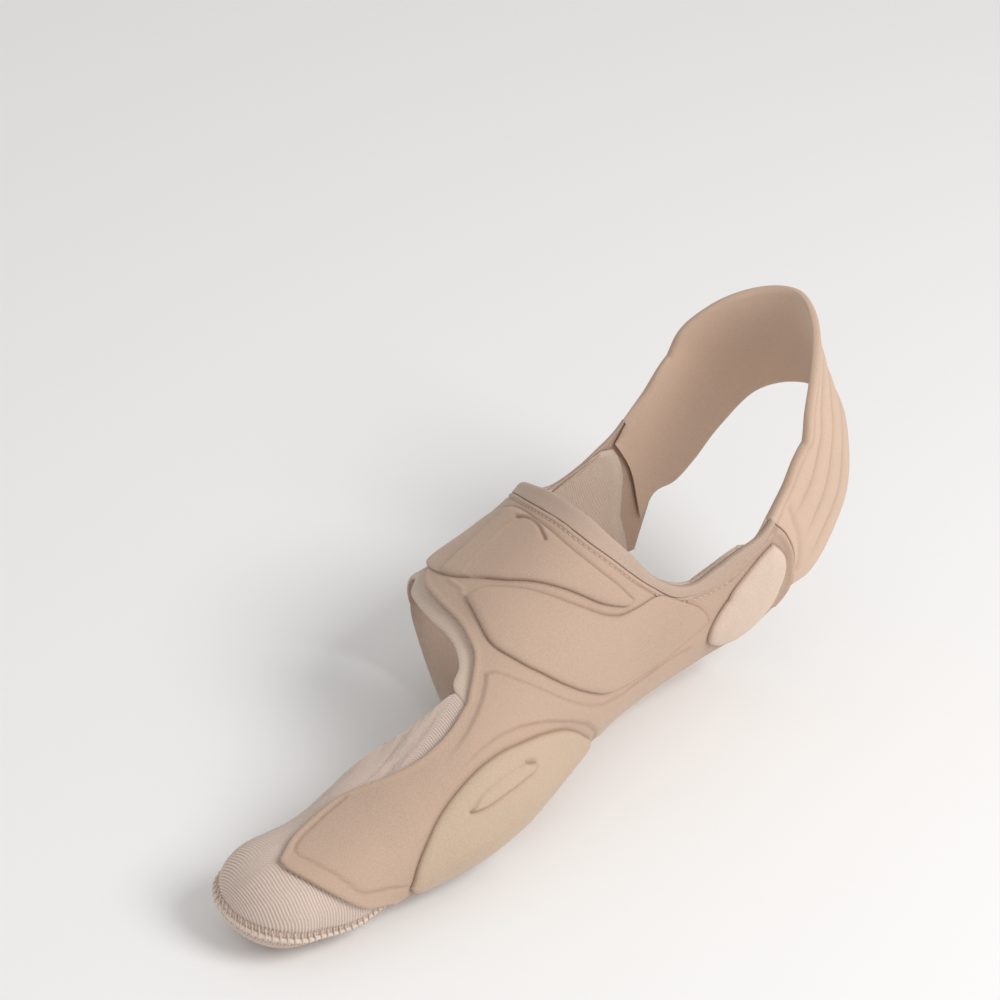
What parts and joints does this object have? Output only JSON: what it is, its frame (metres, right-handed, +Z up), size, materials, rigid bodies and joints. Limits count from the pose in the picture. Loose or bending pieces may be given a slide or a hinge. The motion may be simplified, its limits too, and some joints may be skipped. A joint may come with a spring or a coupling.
{
  "type": "bunion corrector",
  "caption": "Worn right-foot bunion corrector: knitted big-toe cap and midfoot sleeve, moulded panel with pads, and a ribbed strap round the back of the leg.",
  "frame": {"origin": "on the sole line of the foot, inside the sleeve, 120 mm in front of the back of the heel", "axes": "+X towards the heel, -X towards the toes, -Y towards the inner side of the foot, +Z up the leg"},
  "size_m": [0.2379, 0.0938, 0.1114],
  "materials": {
    "knit": "fine ribbed base knit, matte",
    "microfibre": "smooth pressed microfibre, soft sheen",
    "pad_cloth": "smooth pressed cloth over foam",
    "elastic": "ribbed elastic"
  },
  "bodies": {
    "root": {"inner_sleeve": "knit", "toe_cap": "knit", "toe_seam": "knit", "outer_panel": "microfibre", "ankle_hem": "microfibre", "instep_cushion": "microfibre", "side_cushion": "microfibre", "bunion_pad": "pad_cloth", "heel_pad": "pad_cloth", "heel_strap": "elastic"}
  },
  "joints": []
}
